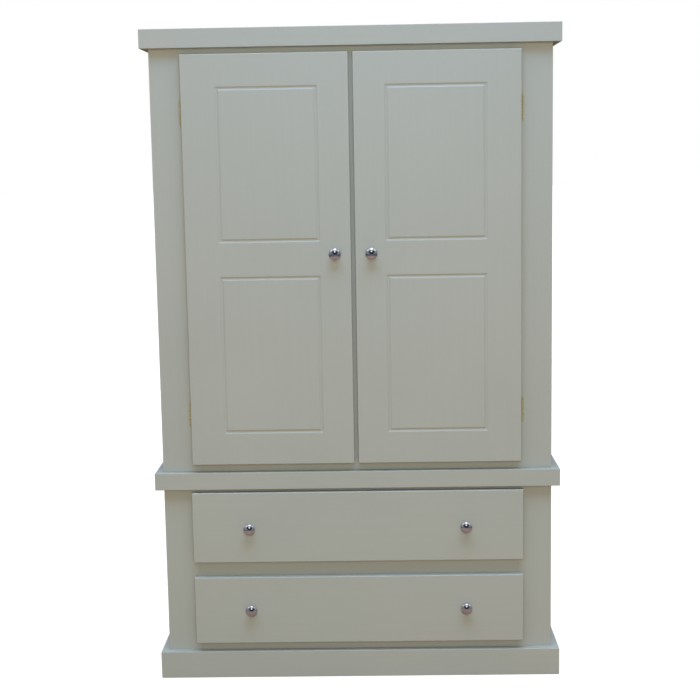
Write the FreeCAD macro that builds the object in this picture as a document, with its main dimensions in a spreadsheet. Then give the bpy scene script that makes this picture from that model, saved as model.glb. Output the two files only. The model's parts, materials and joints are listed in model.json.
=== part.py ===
"""A painted two-part armoire: a hanging cupboard with two doors, standing on a base with two drawers.

Millimetres.  +Z is up, the front faces -Y, and the origin is on the floor under the middle of the whole
object, so that the knobs reach as far forward as the back panels reach back.
"""
import FreeCAD, Part
import math
import os
import re
import Sketcher

doc = FreeCAD.newDocument("Armoire")

# Driving dimensions.  Every size and place below is an expression over these.
SIZES = {
    # outside of the carcass and of the three bands round it
    "carcass_width": 1100,
    "carcass_depth": 560,
    "overall_height": 1833,
    "band_thickness": 22,
    "cornice_height": 52,
    "waist_top_z": 604,
    "waist_height": 49,
    "plinth_height": 78,
    # boards
    "side_thickness": 20,
    "frame_thickness": 20,
    "top_thickness": 20,
    "floor_thickness": 18,
    "back_thickness": 6,
    "back_rebate": 10,
    # face frame of the upper unit
    "upper_stile_width": 110,
    "upper_bottom_rail_height": 35,
    "upper_top_rail_height": 60,
    "post_width": 34,
    # face frame of the base
    "base_stile_width": 95,
    "base_top_rail_height": 50,
    "divider_low_z": 287,
    "divider_height": 68,
    "bottom_rail_low_z": 40,
    "bottom_rail_height": 76,
    "base_floor_low_z": 81,
    "base_back_low_z": 20,
    # doors and drawer fronts, laid on the face frame
    "front_gap": 3.2,
    "front_thickness": 22,
    "door_low_z": 628,
    "door_height": 1136,
    "door_outer_x": 463,
    "door_inner_x": 6,
    "drawer_front_width": 937,
    "lower_front_low_z": 104,
    "lower_front_height": 195,
    "upper_front_low_z": 343,
    "upper_front_height": 203,
    # routed lines in the doors
    "groove_outer_margin": 94.3,
    "groove_inner_margin": 85.9,
    "groove_top_margin": 89.2,
    "groove_bottom_margin": 90.1,
    "groove_rail_low": 529.1,
    "groove_rail_high": 625.4,
    "groove_width": 7.6,
    "groove_depth": 2.4,
    "groove_chamfer": 2.2,
    # knobs
    "knob_radius": 17.5,
    "knob_dome_height": 7.8,
    "knob_rim_thickness": 3,
    "knob_taper_length": 7,
    "knob_neck_radius": 6.5,
    "knob_rose_radius": 9.5,
    "knob_rose_thickness": 2,
    "knob_reach": 30,
    "knob_thread_radius": 2,
    "knob_thread_depth": 12,
    "knob_thread_clearance": 0.05,
    "screw_hole_clearance": 0.3,
    "knob_screw_tip_gap": 2,
    "knob_screw_head_radius": 4,
    "knob_screw_head_height": 2.2,
    "door_knob_x": 50.4,
    "door_knob_z": 1218,
    "drawer_knob_x": 306,
    "upper_knob_z": 442.8,
    "lower_knob_z": 204.8,
    # butt hinges
    "hinge_length": 65,
    "hinge_upper_z": 1610.5,
    "hinge_lower_z": 774,
    "hinge_barrel_radius": 3,
    "hinge_barrel_offset": 4.8,
    "hinge_barrel_reach": 3.3,
    "hinge_pin_radius": 1.5,
    "hinge_pin_clearance": 0.05,
    "hinge_leaf_width": 20,
    "hinge_leaf_thickness": 1.5,
    "hinge_notch": 4,
    "knuckle_gap": 0.3,
    "hinge_screw_radius": 1.5,
    "hinge_screw_head_radius": 3,
    "hinge_screw_length": 16,
    "hinge_screw_spacing": 22,
    "hinge_hole_clearance": 0.1,
    # magnetic catches and their strike plates
    "catch_width": 36,
    "catch_depth": 14,
    "catch_height": 12,
    "catch_inset": 5,
    "strike_width": 30,
    "strike_thickness": 1,
    "strike_height": 10,
    "strike_gap": 0.3,
    # hanging rail
    "rail_radius": 12.5,
    "rail_wall": 1.5,
    "rail_z": 1700,
    "rail_y": 20,
    "rail_end_gap": 0.5,
    "socket_flange_radius": 24,
    "socket_flange_thickness": 3,
    "socket_cup_radius": 15.5,
    "socket_cup_length": 15,
    "socket_clearance": 0.3,
    # drawer boxes
    "box_thickness": 15,
    "box_height": 155,
    "box_length": 530,
    "box_side_clearance": 2,
    "box_groove_z": 12,
    "box_groove_depth": 6,
    "box_bottom_thickness": 6,
    "box_bottom_play": 0.25,
    # drawer runners
    "runner_lift": 1,
    "runner_thickness": 18,
    "runner_guide_height": 20,
    "runner_ledge": 27,
    "runner_side_clearance": 1,
    "runner_stop_clearance": 0.4,
    # wood screws
    "wood_screw_radius": 1.75,
    "wood_screw_head_radius": 3.5,
    "wood_screw_head_height": 2,
    "wood_screw_length": 22,
    "connector_radius": 3,
    "connector_head_radius": 8,
    "connector_head_height": 2,
    "connector_length": 34,
    "connector_inset": 70,
}

sheet = doc.addObject("Spreadsheet::Sheet", "Sizes")
for row, (alias, number) in enumerate(SIZES.items(), start=1):
    sheet.set(f"A{row}", alias)
    sheet.set(f"B{row}", str(number))
    sheet.setAlias(f"B{row}", alias)
doc.recompute()

# Places that many pieces share.
HALF_WIDTH = "carcass_width / 2"
FACE_Y = "(knob_reach + front_thickness + front_gap - carcass_depth) / 2"
BACK_Y = f"{FACE_Y} + carcass_depth"
FRAME_BACK_Y = f"{FACE_Y} + frame_thickness"
FRONT_BACK_Y = f"{FACE_Y} - front_gap"
FRONT_Y = f"{FRONT_BACK_Y} - front_thickness"
INNER_DEPTH = "carcass_depth - frame_thickness - back_thickness"
INNER_HALF = "(carcass_width / 2 - side_thickness)"
UPPER_TOP_Z = "overall_height - top_thickness"
BASE_TOP_Z = "waist_top_z - top_thickness"
UPPER_OPENING_HALF = "(carcass_width / 2 - upper_stile_width)"
BASE_OPENING_HALF = "(carcass_width / 2 - base_stile_width)"
BOX_HALF = f"({BASE_OPENING_HALF} - box_side_clearance)"
HINGE_X = "(door_outer_x + hinge_barrel_offset)"
HINGE_Y = f"{FACE_Y} - hinge_barrel_reach"
SIDES = {"left": -1, "right": 1}
KNUCKLES = 5

nodes = {}


def sized(text):
    """The same expression with every dimension looked up in the sheet."""
    return re.sub(r"[a-z]\w*", lambda found: "Sizes." + found.group(), text)


def bind(thing, **expressions):
    """Bind properties of an object to expressions over the sheet."""
    for name, text in expressions.items():
        thing.setExpression(name, sized(text))
    return thing


def place(thing, x, y, z):
    """Bind an object's position to expressions over the sheet."""
    for axis, text in zip("xyz", (x, y, z)):
        thing.setExpression(f"Placement.Base.{axis}", sized(text))
    return thing


def node(name, thing):
    """Name an object as a finished piece of the armoire."""
    thing.Label = name
    nodes[name] = thing
    return thing


def low_x(side, outer, width):
    """Low X of a piece whose outer edge is `outer` from the middle, on the left or the right."""
    return f"-({outer})" if side < 0 else f"{outer} - {width}"


def box(name, size, corner):
    """A square-edged board with its low corner at `corner`."""
    solid = doc.addObject("Part::Box", name)
    bind(solid, Length=size[0], Width=size[1], Height=size[2])
    return place(solid, *corner)


def cylinder(name, radius, length, centre, direction):
    """A round bar that starts at `centre` and runs along `direction`."""
    solid = doc.addObject("Part::Cylinder", name)
    bind(solid, Radius=radius, Height=length)
    solid.Placement.Rotation = FreeCAD.Rotation(FreeCAD.Vector(0, 0, 1), FreeCAD.Vector(*direction))
    return place(solid, *centre)


def cone(name, radius_start, radius_end, length, centre, direction):
    """A round taper that starts at `centre` and runs along `direction`."""
    solid = doc.addObject("Part::Cone", name)
    bind(solid, Radius1=radius_start, Radius2=radius_end, Height=length)
    solid.Placement.Rotation = FreeCAD.Rotation(FreeCAD.Vector(0, 0, 1), FreeCAD.Vector(*direction))
    return place(solid, *centre)


def fused(name, solids):
    """One solid out of several that meet."""
    union = doc.addObject("Part::MultiFuse", name)
    union.Shapes = solids
    union.Refine = True
    return union


def cut(name, solid, tools):
    """A solid less the tools."""
    tool = tools[0] if len(tools) == 1 else fused(name + "_tools", tools)
    difference = doc.addObject("Part::Cut", name)
    difference.Base = solid
    difference.Tool = tool
    return difference


def group(name, solids):
    """Identical pieces in one node, each still a solid of its own."""
    compound = doc.addObject("Part::Compound", name)
    compound.Links = solids
    return node(name, compound)


def sketch_on(body, name, role, offset=None):
    """A sketch on one of the body's own origin planes, moved out along its normal by `offset`."""
    sketch = body.newObject("Sketcher::SketchObject", name)
    plane = next(feature for feature in body.Origin.OriginFeatures if feature.Role == role)
    sketch.AttachmentSupport = [(plane, "")]
    sketch.MapMode = "FlatFace"
    if offset:
        sketch.setExpression("AttachmentOffset.Base.z", sized(offset))
    return sketch


def outline(sketch, corners):
    """A closed outline of straight lines, every corner bound to its own two expressions."""
    first = sketch.GeometryCount
    count = len(corners)
    for index in range(count):
        start = FreeCAD.Vector(10 * index, index * index, 0)
        end = FreeCAD.Vector(10 * index + 5, index * index + 7, 0)
        sketch.addGeometry(Part.LineSegment(start, end))
    for index in range(count):
        follower = first + (index + 1) % count
        sketch.addConstraint(Sketcher.Constraint("Coincident", first + index, 2, follower, 1))
    for index, corner in enumerate(corners):
        for kind, text in zip(("DistanceX", "DistanceY"), corner):
            number = sketch.addConstraint(Sketcher.Constraint(kind, first + index, 1, 10.0 + index))
            sketch.setExpression(f"Constraints[{number}]", sized(text))


def open_line(sketch, corners, closing=None):
    """Straight lines from corner to corner, every corner bound to its own two expressions.

    With `closing`, one more line runs on to the start of that line.  Returns the number of the last line.
    """
    first = sketch.GeometryCount
    count = len(corners) - 1
    for index in range(count):
        start = FreeCAD.Vector(10 + index, -3 * index, 0)
        end = FreeCAD.Vector(11 + index, -3 * index - 2, 0)
        sketch.addGeometry(Part.LineSegment(start, end))
    for index in range(1, count):
        sketch.addConstraint(Sketcher.Constraint("Coincident", first + index - 1, 2, first + index, 1))
    for index, corner in enumerate(corners):
        line, vertex = (first + index, 1) if index < count else (first + count - 1, 2)
        for kind, text in zip(("DistanceX", "DistanceY"), corner):
            number = sketch.addConstraint(Sketcher.Constraint(kind, line, vertex, 10.0 + index))
            sketch.setExpression(f"Constraints[{number}]", sized(text))
    if closing is None:
        return first + count - 1
    end = sketch.getPoint(closing, 1)
    last = sketch.addGeometry(Part.LineSegment(end + FreeCAD.Vector(1, -3, 0), end))
    sketch.addConstraint(Sketcher.Constraint("Coincident", last - 1, 2, last, 1))
    sketch.addConstraint(Sketcher.Constraint("Coincident", last, 2, closing, 1))
    return last


def rectangle(sketch, low, high):
    """A closed rectangle between two corners."""
    outline(sketch, [low, (high[0], low[1]), high, (low[0], high[1])])


def circle(sketch, centre, radius):
    """A circle bound to expressions."""
    index = sketch.addGeometry(Part.Circle(FreeCAD.Vector(1, 1, 0), FreeCAD.Vector(0, 0, 1), 1))
    for kind, text in zip(("DistanceX", "DistanceY"), centre):
        number = sketch.addConstraint(Sketcher.Constraint(kind, index, 3, 1.0))
        sketch.setExpression(f"Constraints[{number}]", sized(text))
    number = sketch.addConstraint(Sketcher.Constraint("Radius", index, 1.0))
    sketch.setExpression(f"Constraints[{number}]", sized(radius))


def padded_body(name, role, length, corners):
    """A body padded from one outline."""
    body = doc.addObject("PartDesign::Body", name)
    sketch = sketch_on(body, name + "_outline", role)
    outline(sketch, corners)
    pad = body.newObject("PartDesign::Pad", name + "_pad")
    pad.Profile = sketch
    bind(pad, Length=length)
    return body


def mitred_band(band, low_z, height):
    """Three boards round the front and sides of the carcass, mitred at the two front corners."""
    outer = f"({HALF_WIDTH} + band_thickness)"
    front_edge = f"{FACE_Y} - band_thickness"
    front = padded_body(f"{band}_front", "XY_Plane", height, [
        (f"-{outer}", front_edge),
        (outer, front_edge),
        (HALF_WIDTH, FACE_Y),
        (f"-{HALF_WIDTH}", FACE_Y),
    ])
    node(f"{band}_front", place(front, "0", "0", low_z))
    for side_name, side in SIDES.items():
        board = padded_body(f"{band}_{side_name}", "XY_Plane", height, [
            (f"{side} * {outer}", front_edge),
            (f"{side} * {outer}", BACK_Y),
            (f"{side} * {HALF_WIDTH}", BACK_Y),
            (f"{side} * {HALF_WIDTH}", FACE_Y),
        ])
        node(f"{band}_{side_name}", place(board, "0", "0", low_z))


def carcass_side(unit, side_name, side, low_z, height):
    """A side board, rebated along its back inner edge for the back panel."""
    inner = INNER_HALF
    rebate_x = f"({HALF_WIDTH} - side_thickness + back_rebate)"
    rebate_y = f"{BACK_Y} - back_thickness"
    body = padded_body(f"{unit}_side_{side_name}", "XY_Plane", height, [
        (f"{side} * {HALF_WIDTH}", FRAME_BACK_Y),
        (f"{side} * {HALF_WIDTH}", BACK_Y),
        (f"{side} * {rebate_x}", BACK_Y),
        (f"{side} * {rebate_x}", rebate_y),
        (f"{side} * {inner}", rebate_y),
        (f"{side} * {inner}", FRAME_BACK_Y),
    ])
    node(f"{unit}_side_{side_name}", place(body, "0", "0", low_z))


def carcass_panels(unit, low_z, top_z, floor_low_z, back_low_z):
    """The sides, floor, top and back of one unit; the top lies over the sides and the face frame."""
    for side_name, side in SIDES.items():
        carcass_side(unit, side_name, side, low_z, f"{top_z} - ({low_z})")
    node(f"{unit}_floor_panel", box(
        f"{unit}_floor_panel",
        (f"2 * {INNER_HALF}", INNER_DEPTH, "floor_thickness"),
        (f"-{INNER_HALF}", FRAME_BACK_Y, floor_low_z)))
    node(f"{unit}_top_panel", box(
        f"{unit}_top_panel",
        ("carcass_width", "carcass_depth", "top_thickness"),
        (f"-{HALF_WIDTH}", FACE_Y, top_z)))
    node(f"{unit}_back_panel", box(
        f"{unit}_back_panel",
        (f"2 * ({INNER_HALF} + back_rebate)", "back_thickness", f"{top_z} - ({back_low_z})"),
        (f"-({INNER_HALF} + back_rebate)", f"{BACK_Y} - back_thickness", back_low_z)))


def frame_member(name, width, height, x, z):
    """One flat member of a face frame."""
    node(name, box(name, (width, "frame_thickness", height), (x, FACE_Y, z)))


def upper_face_frame():
    """Stiles, rails and the fixed post between the doors."""
    for side_name, side in SIDES.items():
        frame_member(f"upper_stile_{side_name}", "upper_stile_width", f"{UPPER_TOP_Z} - waist_top_z",
                     low_x(side, HALF_WIDTH, "upper_stile_width"), "waist_top_z")
    rail_width = f"2 * {UPPER_OPENING_HALF}"
    rail_x = f"-{UPPER_OPENING_HALF}"
    frame_member("upper_bottom_rail", rail_width, "upper_bottom_rail_height", rail_x, "waist_top_z")
    frame_member("upper_top_rail", rail_width, "upper_top_rail_height", rail_x,
                 f"{UPPER_TOP_Z} - upper_top_rail_height")
    post_height = f"{UPPER_TOP_Z} - upper_top_rail_height - waist_top_z - upper_bottom_rail_height"
    frame_member("centre_post", "post_width", post_height, "-post_width / 2",
                 "waist_top_z + upper_bottom_rail_height")


def base_face_frame():
    """Stiles and the three rails round the drawers."""
    for side_name, side in SIDES.items():
        frame_member(f"base_stile_{side_name}", "base_stile_width", BASE_TOP_Z,
                     low_x(side, HALF_WIDTH, "base_stile_width"), "0")
    rail_width = f"2 * {BASE_OPENING_HALF}"
    rail_x = f"-{BASE_OPENING_HALF}"
    frame_member("base_top_rail", rail_width, "base_top_rail_height", rail_x,
                 f"{BASE_TOP_Z} - base_top_rail_height")
    frame_member("drawer_divider_rail", rail_width, "divider_height", rail_x, "divider_low_z")
    frame_member("base_bottom_rail", rail_width, "bottom_rail_height", rail_x, "bottom_rail_low_z")


def door_panel(side_name, side):
    """A door cut from one board: two routed rectangles in its face and a hole for the knob's screw."""
    name = f"door_{side_name}_panel"
    body = doc.addObject("PartDesign::Body", name)
    sketch = sketch_on(body, name + "_outline", "XZ_Plane")
    rectangle(sketch, (f"{side} * door_inner_x", "0"), (f"{side} * door_outer_x", "door_height"))
    pad = body.newObject("PartDesign::Pad", name + "_pad")
    pad.Profile = sketch
    bind(pad, Length="front_thickness")

    lines = sketch_on(body, name + "_lines", "XZ_Plane", "front_thickness")
    inner_x = "(door_inner_x + groove_inner_margin)"
    outer_x = "(door_outer_x - groove_outer_margin)"
    panels = (("groove_bottom_margin", "groove_rail_low"),
              ("groove_rail_high", "(door_height - groove_top_margin)"))
    for low_z, high_z in panels:
        rectangle(lines, (f"{side} * {inner_x}", low_z), (f"{side} * {outer_x}", high_z))
        rectangle(lines,
                  (f"{side} * ({inner_x} + groove_width)", f"{low_z} + groove_width"),
                  (f"{side} * ({outer_x} - groove_width)", f"{high_z} - groove_width"))
    grooves = body.newObject("PartDesign::Pocket", name + "_grooves")
    grooves.Profile = lines
    bind(grooves, Length="groove_depth")

    hole_sketch = sketch_on(body, name + "_hole_outline", "XZ_Plane", "front_thickness")
    circle(hole_sketch, (f"{side} * door_knob_x", "door_knob_z - door_low_z"),
           "knob_thread_radius + screw_hole_clearance")
    hole = body.newObject("PartDesign::Pocket", name + "_hole")
    hole.Profile = hole_sketch
    hole.Type = "ThroughAll"

    doc.recompute()
    arrises = groove_arrises(hole.Shape, sheet.front_thickness)
    chamfer = body.newObject("PartDesign::Chamfer", name + "_groove_arrises")
    chamfer.Base = (hole, arrises)
    bind(chamfer, Size="groove_chamfer")
    body.Tip = chamfer
    node(name, place(body, "0", FRONT_BACK_Y, "door_low_z"))


def groove_arrises(shape, thickness):
    """The straight edges on the door's face that aren't its outer edges."""
    bounds = shape.BoundBox
    names = []
    for number, edge in enumerate(shape.Edges, start=1):
        on_face = abs(edge.BoundBox.YMin + thickness) < 0.01 and edge.BoundBox.YLength < 0.01
        straight = edge.Curve.TypeId == "Part::GeomLine"
        inside = edge.BoundBox.XMin > bounds.XMin + 1 and edge.BoundBox.XMax < bounds.XMax - 1
        if on_face and straight and inside:
            names.append(f"Edge{number}")
    return names


def knob(name, x, z):
    """A domed knob on a tapered neck and a small rose, tapped for its screw: one turned outline."""
    rim_back = "(knob_reach - knob_dome_height - knob_rim_thickness)"
    thread_radius = "knob_thread_radius + knob_thread_clearance"
    before_dome = [
        (thread_radius, "0"),
        ("knob_rose_radius", "0"),
        ("knob_rose_radius", "-knob_rose_thickness"),
        ("knob_neck_radius", "-knob_rose_thickness"),
        ("knob_neck_radius", f"knob_taper_length - {rim_back}"),
        ("knob_radius", f"-{rim_back}"),
        ("knob_radius", f"-{rim_back} - knob_rim_thickness"),
    ]
    after_dome = [
        ("0", "-knob_reach"),
        ("0", "-knob_thread_depth"),
        (thread_radius, "-knob_thread_depth"),
    ]
    body = doc.addObject("PartDesign::Body", name)
    sketch = sketch_on(body, name + "_profile", "XY_Plane")
    rim_end = open_line(sketch, before_dome)
    dome_start = sketch.GeometryCount
    open_line(sketch, after_dome, closing=0)
    radius_guess = sheet.knob_reach - sheet.knob_dome_height
    centre_guess = FreeCAD.Vector(0, radius_guess - sheet.knob_reach, 0)
    circle_guess = Part.Circle(centre_guess, FreeCAD.Vector(0, 0, 1), radius_guess)
    dome = sketch.addGeometry(Part.ArcOfCircle(circle_guess, -math.pi / 2, -math.pi / 4))
    vertical_axis = -2
    sketch.addConstraint(Sketcher.Constraint("PointOnObject", dome, 3, vertical_axis))
    sketch.addConstraint(Sketcher.Constraint("Coincident", dome, 1, dome_start, 1))
    sketch.addConstraint(Sketcher.Constraint("Coincident", dome, 2, rim_end, 2))
    turning = body.newObject("PartDesign::Revolution", name + "_turning")
    turning.Profile = sketch
    turning.ReferenceAxis = (sketch, ["V_Axis"])
    turning.Angle = 360
    return place(body, x, FRONT_Y, z)


def knob_screw(name, x, z):
    """The machine screw that holds a knob from behind, its head on the back of the board."""
    shank = cylinder(name + "_shank", "knob_thread_radius",
                     "front_thickness + knob_thread_depth - knob_screw_tip_gap",
                     (x, FRONT_BACK_Y, z), (0, -1, 0))
    head = cylinder(name + "_head", "knob_screw_head_radius", "knob_screw_head_height",
                    (x, FRONT_BACK_Y, z), (0, 1, 0))
    return fused(name, [shank, head])


def hinge_leaf(name, side, centre_z, front, back, own_knuckles):
    """A leaf with its share of the knuckles, notched round the others, bored and countersunk.

    `front` and `back` are how far its two faces are in front of the face frame.  The screw heads are on the
    face that shows when the door is open: the front of the frame's leaf, the back of the door's leaf.
    """
    low_z = f"({centre_z}) - hinge_length / 2"
    plate_outer = f"({HINGE_X} - hinge_notch)"
    plate_inner = f"({HINGE_X} - hinge_notch - hinge_leaf_width)"
    pitch = f"hinge_length / {KNUCKLES}"
    plate = box(name + "_plate",
                ("hinge_leaf_width", "hinge_leaf_thickness", "hinge_length"),
                (low_x(side, plate_outer, "hinge_leaf_width"), f"{FACE_Y} - ({front})", low_z))
    solids = [plate]
    for index in own_knuckles:
        knuckle_z = f"{low_z} + {index} * {pitch} + knuckle_gap / 2"
        knuckle_height = f"{pitch} - knuckle_gap"
        solids.append(cylinder(f"{name}_knuckle_{index}", "hinge_barrel_radius", knuckle_height,
                               (f"{side} * {HINGE_X}", HINGE_Y, knuckle_z), (0, 0, 1)))
        solids.append(box(f"{name}_tab_{index}",
                          ("hinge_notch", "hinge_leaf_thickness", knuckle_height),
                          (low_x(side, HINGE_X, "hinge_notch"), f"{FACE_Y} - ({front})", knuckle_z)))
    tools = [cylinder(name + "_bore", "hinge_pin_radius + hinge_pin_clearance", "hinge_length",
                      (f"{side} * {HINGE_X}", HINGE_Y, low_z), (0, 0, 1))]
    on_frame = back == "0"
    direction = (0, 1, 0) if on_frame else (0, -1, 0)
    head_face = front if on_frame else back
    for index in (-1, 0, 1):
        tools.append(cone(f"{name}_countersink_{index + 1}",
                          "hinge_screw_head_radius + hinge_hole_clearance",
                          "hinge_screw_radius + hinge_hole_clearance", "hinge_leaf_thickness",
                          (f"{side} * ({plate_inner} + hinge_leaf_width / 2)", f"{FACE_Y} - ({head_face})",
                           f"({centre_z}) + {index} * hinge_screw_spacing"), direction))
    return cut(name, fused(name + "_blank", solids), tools)


def hinge_screw(name, side, centre_z, index, head_face, direction):
    """A countersunk wood screw through a hinge leaf."""
    x = f"{side} * ({HINGE_X} - hinge_notch - hinge_leaf_width / 2)"
    z = f"({centre_z}) + {index} * hinge_screw_spacing"
    head_y = f"{FACE_Y} - ({head_face})"
    shank_y = f"{head_y} + ({direction}) * hinge_leaf_thickness"
    head = cone(name + "_head", "hinge_screw_head_radius", "hinge_screw_radius", "hinge_leaf_thickness",
                (x, head_y, z), (0, direction, 0))
    shank = cylinder(name + "_shank", "hinge_screw_radius", "hinge_screw_length - hinge_leaf_thickness",
                     (x, shank_y, z), (0, direction, 0))
    return fused(name, [head, shank])


def hinges():
    """Four butt hinges: the leaf and pin on the frame, the other leaf on the door."""
    door_leaf_back = "front_gap - hinge_leaf_thickness"
    heights = {"upper": "hinge_upper_z", "lower": "hinge_lower_z"}
    frame_leaves = []
    frame_screws = []
    pins = []
    for side_name, side in SIDES.items():
        door_leaves = []
        door_screws = []
        for height_name, centre_z in heights.items():
            place_name = f"{side_name}_{height_name}"
            frame_leaves.append(hinge_leaf(f"frame_leaf_{place_name}", side, centre_z,
                                           "hinge_leaf_thickness", "0", (0, 2, 4)))
            door_leaves.append(hinge_leaf(f"door_leaf_{place_name}", side, centre_z,
                                          "front_gap", door_leaf_back, (1, 3)))
            pins.append(cylinder(f"pin_{place_name}", "hinge_pin_radius", "hinge_length",
                                 (f"{side} * {HINGE_X}", HINGE_Y, f"{centre_z} - hinge_length / 2"),
                                 (0, 0, 1)))
            for index in (-1, 0, 1):
                frame_screws.append(hinge_screw(f"frame_screw_{place_name}_{index + 1}", side, centre_z,
                                                index, "hinge_leaf_thickness", 1))
                door_screws.append(hinge_screw(f"door_screw_{place_name}_{index + 1}", side, centre_z,
                                               index, door_leaf_back, -1))
        door_screws.append(knob_screw(f"door_{side_name}_knob_screw", f"{side} * door_knob_x",
                                      "door_knob_z"))
        group(f"door_{side_name}_hinge_leaves", door_leaves)
        group(f"door_{side_name}_screws", door_screws)
    group("frame_hinge_leaves", frame_leaves)
    group("frame_hinge_screws", frame_screws)
    group("hinge_pins", pins)


def catches():
    """A magnetic catch under the top rail for each door, and the strike plate on the door's back."""
    rail_low_z = f"{UPPER_TOP_Z} - upper_top_rail_height"
    strike_front = "front_gap - strike_thickness"
    bodies = []
    for side_name, side in SIDES.items():
        catch_outer = "(post_width / 2 + catch_inset + catch_width)"
        strike_outer = "(post_width / 2 + catch_inset + catch_width / 2 + strike_width / 2)"
        bodies.append(box(f"catch_{side_name}",
                          ("catch_width", "catch_depth", "catch_height"),
                          (low_x(side, catch_outer, "catch_width"),
                           f"{FACE_Y} - ({strike_front} - strike_gap)", f"{rail_low_z} - catch_height")))
        node(f"door_{side_name}_strike_plate", box(
            f"door_{side_name}_strike_plate",
            ("strike_width", "strike_thickness", "strike_height"),
            (low_x(side, strike_outer, "strike_width"), FRONT_BACK_Y,
             f"{rail_low_z} - catch_height / 2 - strike_height / 2")))
    group("magnet_catches", bodies)


def hanging_rail():
    """A tube across the cupboard, held in a flanged socket on each side board."""
    plate = "socket_flange_thickness"
    tube_low_x = f"-({INNER_HALF} - {plate} - rail_end_gap)"
    tube_length = f"2 * ({INNER_HALF} - {plate} - rail_end_gap)"
    tube_end = (tube_low_x, "rail_y", "rail_z")
    outside = cylinder("rail_outside", "rail_radius", tube_length, tube_end, (1, 0, 0))
    inside = cylinder("rail_inside", "rail_radius - rail_wall", tube_length, tube_end, (1, 0, 0))
    node("hanging_rail", cut("hanging_rail", outside, [inside]))
    sockets = []
    for side_name, side in SIDES.items():
        name = f"rail_socket_{side_name}"
        inward = (-side, 0, 0)
        wall = (f"{side} * {INNER_HALF}", "rail_y", "rail_z")
        flange_face = (f"{side} * ({INNER_HALF} - {plate})", "rail_y", "rail_z")
        flange = cylinder(name + "_flange", "socket_flange_radius", plate, wall, inward)
        cup = cylinder(name + "_cup", "socket_cup_radius", "socket_cup_length", wall, inward)
        hollow = cylinder(name + "_hollow", "rail_radius + socket_clearance", "socket_cup_length",
                          flange_face, inward)
        sockets.append(cut(name, fused(name + "_blank", [flange, cup]), [hollow]))
    group("rail_sockets", sockets)


def doors():
    """Both doors with their knobs."""
    for side_name, side in SIDES.items():
        door_panel(side_name, side)
        name = f"door_{side_name}_knob"
        node(name, knob(name, f"{side} * door_knob_x", "door_knob_z"))


def drawer(name, front_low_z, front_height, knob_z, box_low_z):
    """A drawer: a lay-on front, two grooved sides, a back and a bottom, and a pair of knobs."""
    front_board = box(name + "_front_board",
                      ("drawer_front_width", "front_thickness", front_height),
                      ("-drawer_front_width / 2", FRONT_Y, front_low_z))
    holes = [cylinder(f"{name}_front_hole_{side_name}", "knob_thread_radius + screw_hole_clearance",
                      "front_thickness", (f"{side} * drawer_knob_x", FRONT_BACK_Y, knob_z), (0, -1, 0))
             for side_name, side in SIDES.items()]
    node(f"{name}_front", cut(f"{name}_front", front_board, holes))

    sides = []
    groove_x = f"({BOX_HALF} - box_thickness + box_groove_depth)"
    groove_height = "box_bottom_thickness + 2 * box_bottom_play"
    for side_name, side in SIDES.items():
        board = box(f"{name}_side_board_{side_name}",
                    ("box_thickness", "box_length", "box_height"),
                    (low_x(side, BOX_HALF, "box_thickness"), FRONT_BACK_Y, box_low_z))
        groove = box(f"{name}_side_groove_{side_name}",
                     ("box_groove_depth", "box_length", groove_height),
                     (low_x(side, groove_x, "box_groove_depth"), FRONT_BACK_Y,
                      f"{box_low_z} + box_groove_z - box_bottom_play"))
        sides.append(cut(f"{name}_side_{side_name}", board, [groove]))
    group(f"{name}_sides", sides)

    bottom_half = f"({groove_x} - box_bottom_play)"
    node(f"{name}_bottom", box(
        f"{name}_bottom",
        (f"2 * {bottom_half}", "box_length", "box_bottom_thickness"),
        (f"-{bottom_half}", FRONT_BACK_Y, f"{box_low_z} + box_groove_z")))
    back_low_z = "box_groove_z + box_bottom_thickness"
    node(f"{name}_back", box(
        f"{name}_back",
        (f"2 * ({BOX_HALF} - box_thickness)", "box_thickness", f"box_height - ({back_low_z})"),
        (f"-({BOX_HALF} - box_thickness)", f"{FRONT_BACK_Y} + box_length - box_thickness",
         f"{box_low_z} + {back_low_z}")))

    group(f"{name}_knobs", [knob(f"{name}_knob_{side_name}", f"{side} * drawer_knob_x", knob_z)
                            for side_name, side in SIDES.items()])
    group(f"{name}_knob_screws", [knob_screw(f"{name}_knob_screw_{side_name}", f"{side} * drawer_knob_x",
                                             knob_z) for side_name, side in SIDES.items()])


def runners(drawer_levels):
    """Rebated runners: a drawer side slides along the rebate until it meets the uncut end, its stop."""
    bars = []
    outer = INNER_HALF
    guide_face = f"({BOX_HALF} + runner_side_clearance)"
    width = f"({outer} - {guide_face} + runner_ledge)"
    stop = "(carcass_depth - back_thickness + front_gap - box_length - runner_stop_clearance)"
    for name, box_low_z in drawer_levels.items():
        for side_name, side in SIDES.items():
            bar = box(f"{name}_runner_bar_{side_name}",
                      (width, INNER_DEPTH, "runner_thickness + runner_guide_height"),
                      (low_x(side, outer, width), FRAME_BACK_Y, f"{box_low_z} - runner_thickness"))
            rebate = box(f"{name}_runner_rebate_{side_name}",
                         ("runner_ledge", f"{INNER_DEPTH} - {stop}", "runner_guide_height"),
                         (low_x(side, guide_face, "runner_ledge"), FRAME_BACK_Y, box_low_z))
            bars.append(cut(f"{name}_runner_{side_name}", bar, [rebate]))
    group("drawer_runners", bars)


def wood_screw(name, x, z):
    """A countersunk screw through a back panel, its head flush with the panel."""
    head = cone(name + "_head", "wood_screw_head_radius", "wood_screw_radius", "wood_screw_head_height",
                (x, BACK_Y, z), (0, -1, 0))
    shank = cylinder(name + "_shank", "wood_screw_radius", "wood_screw_length - wood_screw_head_height",
                     (x, f"{BACK_Y} - wood_screw_head_height", z), (0, -1, 0))
    return fused(name, [head, shank])


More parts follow.
